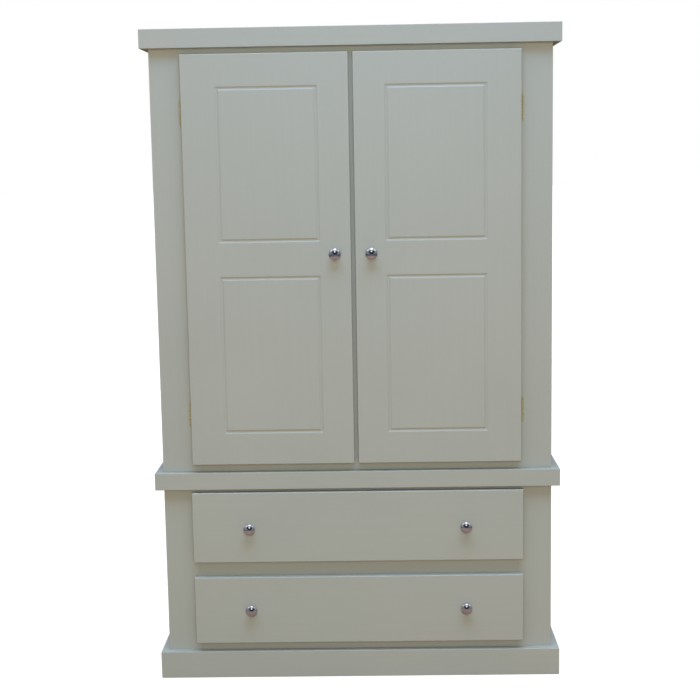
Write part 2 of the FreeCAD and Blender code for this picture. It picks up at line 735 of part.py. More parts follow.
def back_screws():
    """Screws down both edges of each back panel, and along the floor boards."""
    edge_x = f"({INNER_HALF} + back_rebate / 2)"
    rows = {"upper": ("waist_top_z", f"({UPPER_TOP_Z} - waist_top_z)", 6),
            "base": ("base_back_low_z", f"({BASE_TOP_Z} - base_back_low_z)", 3)}
    floors = {"upper": "waist_top_z + floor_thickness / 2",
              "base": "base_floor_low_z + floor_thickness / 2"}
    screws = []
    for unit, (low_z, height, count) in rows.items():
        for side_name, side in SIDES.items():
            for index in range(count):
                screws.append(wood_screw(f"{unit}_back_screw_{side_name}_{index}", f"{side} * {edge_x}",
                                         f"{low_z} + {height} * ({index} + 0.5) / {count}"))
        for index in (-1, 0, 1):
            screws.append(wood_screw(f"{unit}_back_screw_floor_{index + 1}",
                                     f"{index} * {INNER_HALF} / 2", floors[unit]))
    group("back_panel_screws", screws)


def unit_connectors():
    """Four screws down through the upper unit's floor into the top of the base."""
    screws = []
    floor_top_z = "waist_top_z + floor_thickness"
    for side_name, side in SIDES.items():
        x = f"{side} * ({INNER_HALF} - connector_inset)"
        depths = {"front": f"{FRAME_BACK_Y} + connector_inset", "back": f"{BACK_Y} - connector_inset"}
        for depth_name, y in depths.items():
            name = f"connector_{side_name}_{depth_name}"
            head = cylinder(name + "_head", "connector_head_radius", "connector_head_height",
                            (x, y, floor_top_z), (0, 0, 1))
            shank = cylinder(name + "_shank", "connector_radius", "connector_length", (x, y, floor_top_z),
                             (0, 0, -1))
            screws.append(fused(name, [head, shank]))
    group("unit_connector_screws", screws)


mitred_band("cornice", "overall_height - cornice_height", "cornice_height")
mitred_band("waist", "waist_top_z - waist_height", "waist_height")
mitred_band("plinth", "0", "plinth_height")
carcass_panels("upper", "waist_top_z", UPPER_TOP_Z, "waist_top_z", "waist_top_z")
carcass_panels("base", "0", BASE_TOP_Z, "base_floor_low_z", "base_back_low_z")
upper_face_frame()
base_face_frame()
doors()
hinges()
catches()
hanging_rail()
LOWER_BOX_Z = "bottom_rail_low_z + bottom_rail_height + runner_lift"
UPPER_BOX_Z = "divider_low_z + divider_height + runner_lift"
drawer("upper_drawer", "upper_front_low_z", "upper_front_height", "upper_knob_z", UPPER_BOX_Z)
drawer("lower_drawer", "lower_front_low_z", "lower_front_height", "lower_knob_z", LOWER_BOX_Z)
runners({"upper_drawer": UPPER_BOX_Z, "lower_drawer": LOWER_BOX_Z})
back_screws()
unit_connectors()

doc.recompute()
for thing in doc.Objects:
    if "Invalid" in thing.State or "Error" in thing.State:
        raise RuntimeError(f"{thing.Name} didn't compute: {thing.State}")
for name, thing in nodes.items():
    if thing.Shape.isNull() or not thing.Shape.isValid() or not thing.Shape.Solids:
        raise RuntimeError(f"{name} has no valid solid")

os.makedirs("parts", exist_ok=True)
for name, thing in nodes.items():
    thing.Shape.exportStep(f"parts/{name}.step")
print(len(nodes), "pieces,", sum(len(thing.Shape.Solids) for thing in nodes.values()), "solids")
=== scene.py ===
"""The looks of a painted two-part armoire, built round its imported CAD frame.

Metres, +Z up, the front faces -Y.  Sizes given in millimetres are multiplied by MM.
"""
import json
import math

import bmesh
import bpy
from mathutils import Matrix, Vector


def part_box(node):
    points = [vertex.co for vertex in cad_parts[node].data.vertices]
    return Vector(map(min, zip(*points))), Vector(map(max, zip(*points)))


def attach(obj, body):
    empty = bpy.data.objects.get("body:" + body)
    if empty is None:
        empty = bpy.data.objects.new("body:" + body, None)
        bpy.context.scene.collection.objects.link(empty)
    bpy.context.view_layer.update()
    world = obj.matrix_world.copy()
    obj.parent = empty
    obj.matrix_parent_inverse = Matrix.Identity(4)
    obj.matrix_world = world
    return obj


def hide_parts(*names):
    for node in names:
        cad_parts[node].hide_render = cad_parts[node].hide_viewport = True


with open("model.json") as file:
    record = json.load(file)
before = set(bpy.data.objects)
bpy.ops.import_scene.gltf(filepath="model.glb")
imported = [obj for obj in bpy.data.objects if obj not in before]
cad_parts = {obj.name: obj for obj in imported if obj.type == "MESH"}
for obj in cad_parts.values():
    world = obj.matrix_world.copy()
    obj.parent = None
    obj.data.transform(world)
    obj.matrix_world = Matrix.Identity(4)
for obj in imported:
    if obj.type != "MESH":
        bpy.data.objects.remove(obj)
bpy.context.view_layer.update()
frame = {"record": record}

MM = 0.001
SIDES = {"left": -1, "right": 1}
CORNER_STEPS = 4
ARRIS_STEPS = 4


# ---------------------------------------------------------------- outlines

def unit(vector):
    """The same direction with a length of one."""
    return vector.normalized()


def rounded(corners, radii, steps=CORNER_STEPS):
    """An outline whose corners are arcs: every corner gives steps + 1 points."""
    count = len(corners)
    points = []
    for index, corner in enumerate(corners):
        before = unit(corners[index - 1] - corner)
        after = unit(corners[(index + 1) % count] - corner)
        half = before.angle(after) / 2
        radius = radii[index]
        centre = corner + unit(before + after) * radius / math.sin(half)
        start = corner + before * radius / math.tan(half) - centre
        end = corner + after * radius / math.tan(half) - centre
        turn = math.copysign(math.pi - 2 * half, start.cross(end))
        for step in range(steps + 1):
            angle = turn * step / steps
            points.append(centre + Vector((start.x * math.cos(angle) - start.y * math.sin(angle),
                                           start.x * math.sin(angle) + start.y * math.cos(angle))))
    return points


def inset(corners, distances):
    """A counter-clockwise outline with each edge moved inwards; edge i leaves corner i."""
    count = len(corners)
    lines = []
    for index, corner in enumerate(corners):
        along = unit(corners[(index + 1) % count] - corner)
        inward = Vector((-along.y, along.x))
        lines.append((corner + inward * distances[index], along))
    moved = []
    for index, (start, along) in enumerate(lines):
        other_start, other_along = lines[index - 1]
        reach = (start - other_start).cross(along) / other_along.cross(along)
        moved.append(other_start + other_along * reach)
    return moved


def rectangle(low_u, high_u, low_v, high_v):
    """The four corners of a rectangle, counter-clockwise."""
    return [Vector((low_u, low_v)), Vector((high_u, low_v)),
            Vector((high_u, high_v)), Vector((low_u, high_v))]


# ---------------------------------------------------------------- meshes

def axes_to_world(thickness_axis):
    """A function from (u, v, w) to a point, with w along the thickness axis."""
    if thickness_axis == "x":
        return lambda u, v, w: Vector((w, u, v))
    if thickness_axis == "y":
        return lambda u, v, w: Vector((u, w, v))
    return lambda u, v, w: Vector((u, v, w))


def wear_and_sheen_layer(bm):
    """The layer that marks how exposed each vertex is to rubbing, 1 on an arris; on paint it also places a
    painted highlight.
    """
    return bm.verts.layers.float.get("wear_and_sheen") or bm.verts.layers.float.new("wear_and_sheen")


def add_loop(bm, points, w, to_world, wear_and_sheen=0.0):
    """One closed ring of vertices."""
    layer = wear_and_sheen_layer(bm)
    ring = []
    for point in points:
        vertex = bm.verts.new(to_world(point.x, point.y, w))
        vertex[layer] = wear_and_sheen
        ring.append(vertex)
    return ring


def bridge(bm, rings):
    """Quads between each ring and the next."""
    for first, second in zip(rings, rings[1:]):
        count = len(first)
        for index in range(count):
            following = (index + 1) % count
            bm.faces.new((first[index], first[following], second[following], second[index]))


def cap(bm, ring, holes=()):
    """A flat face across a ring, less any rings inside it."""
    if not holes:
        bm.faces.new(ring)
        return
    edges = []
    for loop in (ring, *holes):
        for index, vertex in enumerate(loop):
            following = loop[(index + 1) % len(loop)]
            edges.append(bm.edges.get((vertex, following)) or bm.edges.new((vertex, following)))
    bmesh.ops.triangle_fill(bm, use_beauty=True, use_dissolve=False, edges=edges)


def slab(bm, corners, low, high, axis, arris, corner_radii=None, low_arris=None, low_holes=()):
    """A board: an outline carried along one axis, with its arrises rounded.

    `arris` and `low_arris` hold one radius for each edge of the outline, in metres, for the high and
    the low end.  `low_holes` are outlines left open in the low face.  Returns the rings of those holes.
    """
    to_world = axes_to_world(axis)
    count = len(corners)
    arris = [arris] * count if isinstance(arris, float) else arris
    low_arris = arris if low_arris is None else low_arris
    low_arris = [low_arris] * count if isinstance(low_arris, float) else low_arris
    corner_radii = [max(arris) * 0.8] * count if corner_radii is None else corner_radii
    rings = []
    for step in range(ARRIS_STEPS + 1):
        angle = math.pi / 2 * step / ARRIS_STEPS
        inner = inset(corners, [radius * (1 - math.sin(angle)) for radius in low_arris])
        wear_and_sheen = math.sin(2 * angle)
        rings.append(add_loop(bm, rounded(inner, corner_radii),
                              low + max(low_arris) * (1 - math.cos(angle)), to_world, wear_and_sheen))
    for step in range(ARRIS_STEPS + 1):
        angle = math.pi / 2 * (1 - step / ARRIS_STEPS)
        inner = inset(corners, [radius * (1 - math.sin(angle)) for radius in arris])
        wear_and_sheen = math.sin(2 * angle)
        rings.append(add_loop(bm, rounded(inner, corner_radii),
                              high - max(arris) * (1 - math.cos(angle)), to_world, wear_and_sheen))
    bridge(bm, rings)
    holes = [add_loop(bm, points, low, to_world) for points in low_holes]
    cap(bm, rings[0], holes)
    cap(bm, rings[-1])
    return holes


def turned(bm, profile, centre, direction, segments=48, open_start=False):
    """A solid of revolution, from (radius, distance along `direction`) points, end to end.

    A profile that ends where it starts makes a ring.  Returns the first ring of vertices.
    """
    spin = Vector((0, 0, 1)).rotation_difference(Vector(direction)).to_matrix()
    rings = []
    for radius, along in profile:
        if radius < 1e-7:
            vertex = bm.verts.new(centre + spin @ Vector((0, 0, along)))
            rings.append([vertex])
            continue
        ring = []
        for index in range(segments):
            angle = math.tau * index / segments
            place = spin @ Vector((radius * math.cos(angle), radius * math.sin(angle), along))
            ring.append(bm.verts.new(centre + place))
        rings.append(ring)
    for first, second in zip(rings, rings[1:]):
        for index in range(segments):
            following = (index + 1) % segments
            if len(first) == 1:
                bm.faces.new((first[0], second[following], second[index]))
            elif len(second) == 1:
                bm.faces.new((first[index], first[following], second[0]))
            else:
                bm.faces.new((first[index], first[following], second[following], second[index]))
    if profile[0] == profile[-1]:
        bmesh.ops.remove_doubles(bm, verts=rings[0] + rings[-1], dist=1e-7)
        return rings[0]
    if len(rings[0]) > 1 and not open_start:
        bm.faces.new(rings[0])
    if len(rings[-1]) > 1:
        bm.faces.new(rings[-1])
    return rings[0]


def arc(centre_r, centre_a, radius, start, end, steps):
    """Profile points along an arc, with its angles in degrees: 0 points outwards, 90 points along."""
    points = []
    for step in range(steps + 1):
        angle = math.radians(start + (end - start) * step / steps)
        points.append((centre_r + radius * math.cos(angle), centre_a + radius * math.sin(angle)))
    return points


def finish_mesh(bm, name):
    """An object from the mesh, shaded smooth."""
    bmesh.ops.recalc_face_normals(bm, faces=bm.faces)
    mesh = bpy.data.meshes.new(name)
    bm.to_mesh(mesh)
    bm.free()
    mesh.polygons.foreach_set("use_smooth", [True] * len(mesh.polygons))
    piece = bpy.data.objects.new(name, mesh)
    bpy.context.scene.collection.objects.link(piece)
    return piece


def stand_for(bm, node, material, weighted=True):
    """The mesh becomes the look of one CAD node: it rides on the node's body and takes its slot."""
    piece = finish_mesh(bm, node + "_look")
    if weighted:
        normals = piece.modifiers.new("flat_faces", "WEIGHTED_NORMAL")
        normals.mode = "FACE_AREA"
        normals.weight = 100
    piece.data.materials.append(material)
    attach(piece, BODY_OF[node])
    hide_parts(node)
    return piece


RECORD = frame["record"]
BODY_OF = {node: body for body, members in RECORD["behaviour"]["bodies"].items() for node in members}


# ---------------------------------------------------------------- materials

class Nodes:
    """Short forms for building a material's nodes."""

    def __init__(self, name):
        self.material = bpy.data.materials.new(name)
        self.material.use_nodes = True
        self.tree = self.material.node_tree
        self.shader = self.tree.nodes["Principled BSDF"]
        self.place = self.add("ShaderNodeTexCoord").outputs["Object"]

    def add(self, kind, **settings):
        made = self.tree.nodes.new(kind)
        for key, value in settings.items():
            setattr(made, key, value)
        return made

    def link(self, output, socket):
        self.tree.links.new(output, socket)

    def stretched(self, scale):
        """Object coordinates scaled differently along each axis."""
        mapping = self.add("ShaderNodeMapping")
        mapping.inputs["Scale"].default_value = scale
        self.link(self.place, mapping.inputs["Vector"])
        return mapping.outputs["Vector"]

    def noise(self, scale, detail=3.0, roughness=0.5, vector=None, distortion=0.0):
        made = self.add("ShaderNodeTexNoise")
        made.inputs["Scale"].default_value = scale
        made.inputs["Detail"].default_value = detail
        made.inputs["Roughness"].default_value = roughness
        made.inputs["Distortion"].default_value = distortion
        self.link(self.place if vector is None else vector, made.inputs["Vector"])
        return made.outputs["Fac"]

    def ranged(self, value, low_in, high_in, low_out, high_out):
        """The value carried from one range to another, and held at its ends."""
        made = self.add("ShaderNodeMapRange")
        for socket, number in zip(made.inputs[1:5], (low_in, high_in, low_out, high_out)):
            socket.default_value = number
        self.link(value, made.inputs[0])
        return made.outputs[0]

    def math(self, operation, first, second):
        made = self.add("ShaderNodeMath", operation=operation)
        for socket, value in zip(made.inputs, (first, second)):
            if isinstance(value, (int, float)):
                socket.default_value = value
            else:
                self.link(value, socket)
        return made.outputs[0]

    def mix(self, factor, first, second):
        """A colour mixed from two, each a colour or an output."""
        made = self.add("ShaderNodeMix", data_type="RGBA")
        if isinstance(factor, float):
            made.inputs[0].default_value = factor
        else:
            self.link(factor, made.inputs[0])
        for socket, value in ((made.inputs[6], first), (made.inputs[7], second)):
            if isinstance(value, tuple):
                socket.default_value = (*value, 1.0)
            else:
                self.link(value, socket)
        return made.outputs[2]

    def attribute(self, name):
        return self.add("ShaderNodeAttribute", attribute_name=name).outputs["Fac"]

    def bump(self, height, distance, strength=1.0, under=None):
        made = self.add("ShaderNodeBump")
        made.inputs["Strength"].default_value = strength
        made.inputs["Distance"].default_value = distance
        self.link(height, made.inputs["Height"])
        if under is not None:
            self.link(under, made.inputs["Normal"])
        return made.outputs["Normal"]

    def finish(self, colour=None, roughness=None, normal=None, **sockets):
        if colour is not None:
            self.link(colour, self.shader.inputs["Base Color"])
        if roughness is not None:
            self.link(roughness, self.shader.inputs["Roughness"])
        if normal is not None:
            self.link(normal, self.shader.inputs["Normal"])
        for key, value in sockets.items():
            self.shader.inputs[key.replace("_", " ")].default_value = value
        return self.material


def along_grain(axis, along, across):
    """Scales that stretch a texture along the grain."""
    return tuple(along if letter == axis else across for letter in "xyz")


def painted(axis):
    """Satin pale grey paint over board, rolled and laid off along the board's length."""
    nodes = Nodes(f"satin_paint_{axis}")
    cloud = nodes.noise(2.3, detail=2.0)
    laid_off = nodes.noise(1.0, detail=4.0, roughness=0.6,
                           vector=nodes.stretched(along_grain(axis, 3, 160)))
    stipple = nodes.noise(900, detail=2.0, roughness=0.6)
    speck = nodes.noise(260, detail=1.0)
    tone = nodes.mix(nodes.ranged(cloud, 0.3, 0.7, 0.0, 1.0), (0.337, 0.370, 0.354), (0.356, 0.382, 0.366))
    tone = nodes.mix(nodes.ranged(laid_off, 0.35, 0.65, 0.0, 0.22), tone, (0.321, 0.348, 0.331))
    tone = nodes.mix(nodes.ranged(speck, 0.70, 0.80, 0.0, 0.10), tone, (0.28, 0.28, 0.25))
    chips = nodes.noise(70, detail=4.0, roughness=0.7)
    # Lighter, glossier paint on the arrises: partly rub wear, partly a painted highlight where the rounded
    # edges catch light.
    rub_and_highlight = nodes.math("MULTIPLY", nodes.attribute("wear_and_sheen"), nodes.ranged(chips, 0.50, 0.62, 0.12, 0.55))
    tone = nodes.mix(rub_and_highlight, tone, (0.47, 0.475, 0.43))
    gloss = nodes.ranged(nodes.math("ADD", cloud, laid_off), 0.7, 1.3, 0.36, 0.46)
    gloss = nodes.math("SUBTRACT", gloss, nodes.math("MULTIPLY", rub_and_highlight, 0.12))
    surface = nodes.bump(nodes.noise(9, detail=2.0), 0.4 * MM, 0.25)
    surface = nodes.bump(laid_off, 0.05 * MM, 0.5, under=surface)
    surface = nodes.bump(stipple, 0.02 * MM, 0.5, under=surface)
    return nodes.finish(tone, gloss, surface, IOR=1.48)


def pine(axis):
    """Planed pine: growth rings stretched along the board, fine pores and a few knots."""
    nodes = Nodes(f"planed_pine_{axis}")
    grain_place = nodes.stretched(along_grain(axis, 0.55, 9))
    rings = nodes.add("ShaderNodeTexWave", wave_type="RINGS", rings_direction="SPHERICAL")
    rings.inputs["Scale"].default_value = 5.0
    rings.inputs["Distortion"].default_value = 5.5
    rings.inputs["Detail"].default_value = 3.0
    rings.inputs["Detail Scale"].default_value = 1.3
    nodes.link(grain_place, rings.inputs["Vector"])
    late_wood = nodes.ranged(rings.outputs["Fac"], 0.35, 0.95, 0.0, 1.0)
    pores = nodes.noise(1.0, detail=5.0, roughness=0.7, vector=nodes.stretched(along_grain(axis, 14, 900)))
    cloud = nodes.noise(3.0, detail=2.0)
    tone = nodes.mix(nodes.ranged(cloud, 0.3, 0.7, 0.0, 1.0), (0.66, 0.47, 0.27), (0.60, 0.41, 0.22))
    tone = nodes.mix(nodes.math("MULTIPLY", late_wood, 0.55), tone, (0.43, 0.24, 0.10))
    tone = nodes.mix(nodes.ranged(pores, 0.45, 0.75, 0.0, 0.35), tone, (0.36, 0.20, 0.09))
    knot_place = nodes.stretched(along_grain(axis, 2.4, 6.5))
    knots = nodes.add("ShaderNodeTexVoronoi")
    knots.inputs["Scale"].default_value = 1.0
    nodes.link(knot_place, knots.inputs["Vector"])
    knot = nodes.ranged(knots.outputs["Distance"], 0.05, 0.10, 1.0, 0.0)
    tone = nodes.mix(nodes.math("MULTIPLY", knot, 0.75), tone, (0.20, 0.09, 0.04))
    gloss = nodes.ranged(late_wood, 0.0, 1.0, 0.62, 0.48)
    surface = nodes.bump(late_wood, 0.08 * MM, 0.5)
    surface = nodes.bump(pores, 0.05 * MM, 0.5, under=surface)
    return nodes.finish(tone, gloss, surface, IOR=1.5)


def plywood(axis):
    """Sanded plywood: a broad rotary-cut figure on its faces and fine pores."""
    nodes = Nodes(f"sanded_plywood_{axis}")
    figure = nodes.noise(1.0, detail=3.0, roughness=0.5, vector=nodes.stretched(along_grain(axis, 1.2, 7)),
                         distortion=1.6)
    contour = nodes.add("ShaderNodeTexWave", wave_type="BANDS", bands_direction="DIAGONAL")
    contour.inputs["Scale"].default_value = 2.2
    contour.inputs["Distortion"].default_value = 9.0
    contour.inputs["Detail"].default_value = 2.0
    contour.inputs["Detail Scale"].default_value = 0.8
    nodes.link(nodes.stretched(along_grain(axis, 0.7, 4.0)), contour.inputs["Vector"])
    pores = nodes.noise(1.0, detail=4.0, roughness=0.7, vector=nodes.stretched(along_grain(axis, 22, 700)))
    tone = nodes.mix(nodes.ranged(figure, 0.3, 0.7, 0.0, 1.0), (0.60, 0.45, 0.29), (0.52, 0.37, 0.22))
    tone = nodes.mix(nodes.ranged(contour.outputs["Fac"], 0.5, 1.0, 0.0, 0.45), tone, (0.42, 0.27, 0.14))
    tone = nodes.mix(nodes.ranged(pores, 0.5, 0.8, 0.0, 0.4), tone, (0.30, 0.19, 0.10))
    gloss = nodes.ranged(figure, 0.3, 0.7, 0.6, 0.72)
    surface = nodes.bump(pores, 0.05 * MM, 0.6)
    return nodes.finish(tone, gloss, surface, IOR=1.5)


def chrome():
    """Polished chrome plate with faint smears and hairline scratches."""
    nodes = Nodes("polished_chrome")
    smear = nodes.noise(60, detail=3.0, roughness=0.6)
    scratch = nodes.noise(1.0, detail=2.0, vector=nodes.stretched((1500, 120, 1500)))
    tone = nodes.mix(nodes.ranged(smear, 0.35, 0.7, 0.0, 1.0), (0.80, 0.81, 0.84), (0.74, 0.75, 0.78))
    gloss = nodes.ranged(smear, 0.3, 0.75, 0.04, 0.11)
    gloss = nodes.math("ADD", gloss, nodes.ranged(scratch, 0.62, 0.75, 0.0, 0.08))
    surface = nodes.bump(smear, 0.02 * MM, 0.2)
    return nodes.finish(tone, gloss, surface, Metallic=1.0)


def brass():
    """Aged brass under a dull film, brighter where it is handled."""
    nodes = Nodes("aged_brass")
    tarnish = nodes.noise(140, detail=5.0, roughness=0.65)
    rolled = nodes.noise(1.0, detail=3.0, vector=nodes.stretched((2600, 2600, 90)))
    tone = nodes.mix(nodes.ranged(tarnish, 0.38, 0.66, 0.0, 1.0), (0.74, 0.68, 0.38), (0.52, 0.48, 0.27))
    bright = nodes.math("MULTIPLY", nodes.attribute("wear_and_sheen"), 0.5)
    tone = nodes.mix(bright, tone, (0.86, 0.78, 0.48))
    gloss = nodes.ranged(tarnish, 0.35, 0.7, 0.26, 0.50)
    surface = nodes.bump(rolled, 0.02 * MM, 0.5)
    surface = nodes.bump(tarnish, 0.03 * MM, 0.4, under=surface)
    return nodes.finish(tone, gloss, surface, Metallic=0.6)


def steel():
    """Zinc-plated steel: cloudy bluish plate with a fine grain."""
    nodes = Nodes("zinc_plated_steel")
    cloud = nodes.noise(220, detail=4.0, roughness=0.6)
    grain = nodes.noise(1500, detail=2.0)
    tone = nodes.mix(nodes.ranged(cloud, 0.35, 0.68, 0.0, 1.0), (0.60, 0.61, 0.63), (0.47, 0.47, 0.46))
    bright = nodes.math("MULTIPLY", nodes.attribute("wear_and_sheen"), 0.4)
    tone = nodes.mix(bright, tone, (0.72, 0.72, 0.72))
    gloss = nodes.ranged(cloud, 0.3, 0.7, 0.24, 0.42)
    surface = nodes.bump(grain, 0.01 * MM, 0.5)
    return nodes.finish(tone, gloss, surface, Metallic=1.0)


def moulded_plastic():
    """Off-white moulded plastic with a light spark-eroded texture."""
    nodes = Nodes("moulded_plastic")
    texture = nodes.noise(1800, detail=2.0)
    cloud = nodes.noise(40, detail=2.0)
    tone = nodes.mix(nodes.ranged(cloud, 0.3, 0.7, 0.0, 1.0), (0.76, 0.75, 0.71), (0.70, 0.69, 0.64))
    gloss = nodes.ranged(texture, 0.3, 0.7, 0.42, 0.55)
    surface = nodes.bump(texture, 0.02 * MM, 0.6)
    return nodes.finish(tone, gloss, surface, IOR=1.5)


PAINT = {axis: painted(axis) for axis in "xyz"}
PINE = {axis: pine(axis) for axis in "xyz"}
PLYWOOD = {axis: plywood(axis) for axis in "xz"}
CHROME = chrome()
BRASS = brass()
STEEL = steel()
PLASTIC = moulded_plastic()


# ---------------------------------------------------------------- painted boards

def board(node, axis, grain, arris=1.2 * MM, tight=(), finish=None):
    """A flat board filling its node's box, with its thickness along `axis` and its grain along `grain`.

    `tight` names the sides that meet another board, such as "+x": their arrises are hardly broken.
    """
    low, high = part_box(node)
    plan = [letter for letter in "xyz" if letter != axis]
    index = {"x": 0, "y": 1, "z": 2}
    u, v = (index[letter] for letter in plan)
    w = index[axis]
    corners = rectangle(low[u], high[u], low[v], high[v])
    edge_names = (f"-{plan[1]}", f"+{plan[0]}", f"+{plan[1]}", f"-{plan[0]}")
    closed = 0.25 * MM
    edges = [closed if name in tight else arris for name in edge_names]
    low_edges = [closed] * 4 if f"-{axis}" in tight else edges
    high_edges = [closed] * 4 if f"+{axis}" in tight else edges
    radii = [max(closed, 0.8 * min(edges[number - 1], edges[number])) for number in range(4)]
    bm = bmesh.new()
    slab(bm, corners, low[w], high[w], axis, high_edges, radii, low_edges)
    return stand_for(bm, node, (finish or PAINT)[grain])


def mitred_band(band):
    """Three boards round the carcass, mitred at the front corners."""
    front_low, front_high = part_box(f"{band}_front")
    thickness = front_high.y - front_low.y
    joint = 0.15 * MM
    sharp = 0.4 * MM
    outer = 1.6 * MM
    corners = [Vector((front_low.x, front_low.y)), Vector((front_high.x, front_low.y)),
               Vector((front_high.x - thickness, front_high.y)),
               Vector((front_low.x + thickness, front_high.y))]
    bm = bmesh.new()
    slab(bm, corners, front_low.z, front_high.z, "z", [outer, joint, joint, joint], [sharp] * 4)
    stand_for(bm, f"{band}_front", PAINT["x"])
    for name in SIDES:
        low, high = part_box(f"{band}_{name}")
        if name == "left":
            corners = [Vector((low.x, low.y)), Vector((high.x, low.y + thickness)),
                       Vector((high.x, high.y)), Vector((low.x, high.y))]
            edges = [joint, joint, outer, outer]
        else:
            corners = [Vector((high.x, low.y)), Vector((high.x, high.y)),
                       Vector((low.x, high.y)), Vector((low.x, low.y + thickness))]
            edges = [outer, outer, joint, joint]
        bm = bmesh.new()
        slab(bm, corners, low.z, high.z, "z", edges, [sharp] * 4)
        stand_for(bm, f"{band}_{name}", PAINT["y"])


def carcass_side(node, side):
    """A side board with the rebate that takes the back panel."""
    low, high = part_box(node)
    rebate_width = 10 * MM
    rebate_depth = 6 * MM
    outer = low.x if side < 0 else high.x
    inner = high.x if side < 0 else low.x
    step_x = inner + side * rebate_width
    corners = [Vector((outer, low.y)), Vector((inner, low.y)), Vector((inner, high.y - rebate_depth)),
               Vector((step_x, high.y - rebate_depth)), Vector((step_x, high.y)), Vector((outer, high.y))]
    if side > 0:
        corners = [corners[0], *reversed(corners[1:])]
    bm = bmesh.new()
    slab(bm, corners, low.z, high.z, "z", 0.4 * MM, [0.5 * MM] * 6)
    stand_for(bm, node, PAINT["z"])


for band_name in ("cornice", "waist", "plinth"):
    mitred_band(band_name)
for unit_name in ("upper", "base"):
    for side_name, side in SIDES.items():
        carcass_side(f"{unit_name}_side_{side_name}", side)
        board(f"{unit_name}_stile_{side_name}", "y", "z", 1.0 * MM, tight=("+y",))
board("upper_top_panel", "z", "x")
board("base_top_panel", "z", "x")
board("upper_floor_panel", "z", "x", 0.5 * MM)
board("upper_top_rail", "y", "x", 1.0 * MM, tight=("+y", "+x", "-x"))
board("upper_bottom_rail", "y", "x", 1.0 * MM, tight=("+y", "+x", "-x"))
board("centre_post", "y", "z", 1.0 * MM, tight=("+z", "-z"))
for rail_name in ("base_top_rail", "drawer_divider_rail", "base_bottom_rail"):
    board(rail_name, "y", "x", 1.0 * MM, tight=("+x", "-x"))


# ---------------------------------------------------------------- doors and drawer fronts

FRONT_ARRIS = 2.2 * MM
FRONT_BACK_ARRIS = 1.0 * MM
FRONT_CORNER = 1.5 * MM
LINE_WIDTH = 12 * MM
LINE_DEPTH = 2.4 * MM
LINE_CORNER = 4.6 * MM
LINE_CORNER_LEAST = 0.4 * MM
LINE_STEPS = 12
LINE_TO_MEETING_EDGE = 83.7 * MM
LINE_TO_HINGED_EDGE = 92.1 * MM
LINE_HEIGHTS = ((87.9 * MM, 531.3 * MM), (623.2 * MM, 1049.0 * MM))


def routed_line(bm, outer_corners, face_y, outer_ring):
    """A round-bottomed line cut in a door's face, from its outer edge to its inner one, and its field."""
    to_world = axes_to_world("y")
    rings = [outer_ring]
    for step in range(1, LINE_STEPS + 1):
        across = LINE_WIDTH * step / LINE_STEPS
        sunk = LINE_DEPTH * math.sin(math.pi * step / LINE_STEPS) ** 1.3
        corners = inset(outer_corners, [across] * 4)
        radius = max(LINE_CORNER_LEAST, LINE_CORNER - across)
        rings.append(add_loop(bm, rounded(corners, [radius] * 4), face_y + sunk, to_world))
    bridge(bm, rings)
    cap(bm, rings[-1])


def door(name, side):
    """A slab door with two routed rectangles and softened arrises."""
    low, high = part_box(f"door_{name}_panel")
    margins = (LINE_TO_HINGED_EDGE, LINE_TO_MEETING_EDGE)
    left_margin, right_margin = margins if side < 0 else reversed(margins)
    lines = [rectangle(low.x + left_margin, high.x - right_margin, low.z + bottom, low.z + top)
             for bottom, top in LINE_HEIGHTS]
    outlines = [rounded(corners, [LINE_CORNER] * 4) for corners in lines]
    bm = bmesh.new()
    rings = slab(bm, rectangle(low.x, high.x, low.z, high.z), low.y, high.y, "y", FRONT_BACK_ARRIS,
                 [FRONT_CORNER] * 4, FRONT_ARRIS, low_holes=outlines)
    for corners, ring in zip(lines, rings):
        routed_line(bm, corners, low.y, ring)
    stand_for(bm, f"door_{name}_panel", PAINT["z"])


def drawer_front(name):
    """A plain drawer front with softened arrises."""
    low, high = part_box(f"{name}_front")
    bm = bmesh.new()
    slab(bm, rectangle(low.x, high.x, low.z, high.z), low.y, high.y, "y", FRONT_BACK_ARRIS,
         [FRONT_CORNER] * 4, FRONT_ARRIS)
    stand_for(bm, f"{name}_front", PAINT["x"])


def knobs(node, centres):
    """Chrome knobs: a shallow dome with a rolled rim, a tapered neck and a small rose."""
    low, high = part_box(node)
    reach = high.y - low.y
    radius = (high.z - low.z) / 2
    neck = 6.5 * MM
    rose = 9.5 * MM
    dome_height = 7.8 * MM
    rim = 1.5 * MM
    rim_back = reach - dome_height - 2 * rim
    dome_radius = (radius ** 2 + dome_height ** 2) / (2 * dome_height)
    dome_angle = math.degrees(math.asin((radius - rim * 0.6) / dome_radius))
    profile = [(0.0, 0.0), (rose, 0.0), (rose, 1.2 * MM)]
    profile += arc(rose - 0.8 * MM, 1.2 * MM, 0.8 * MM, 0, 90, 4)[1:]
    profile += arc(neck + 1.5 * MM, 3.5 * MM, 1.5 * MM, 270, 180, 5)
    taper_start = rim_back - 7 * MM
    flare = 8
    for step in range(flare + 1):
        share = step / flare
        profile.append((neck + (radius - rim - neck) * share ** 1.6, taper_start + 6.4 * MM * share))
    profile += arc(radius - rim, rim_back + rim, rim, -60, 40, 8)
    profile += arc(0.0, reach - dome_radius, dome_radius, 90 - dome_angle, 90, 24)
    profile[-1] = (0.0, reach)
    bm = bmesh.new()
    for x, z in centres:
        turned(bm, profile, Vector((x, high.y, z)), (0, -1, 0), 64)
    stand_for(bm, node, CHROME, weighted=False)


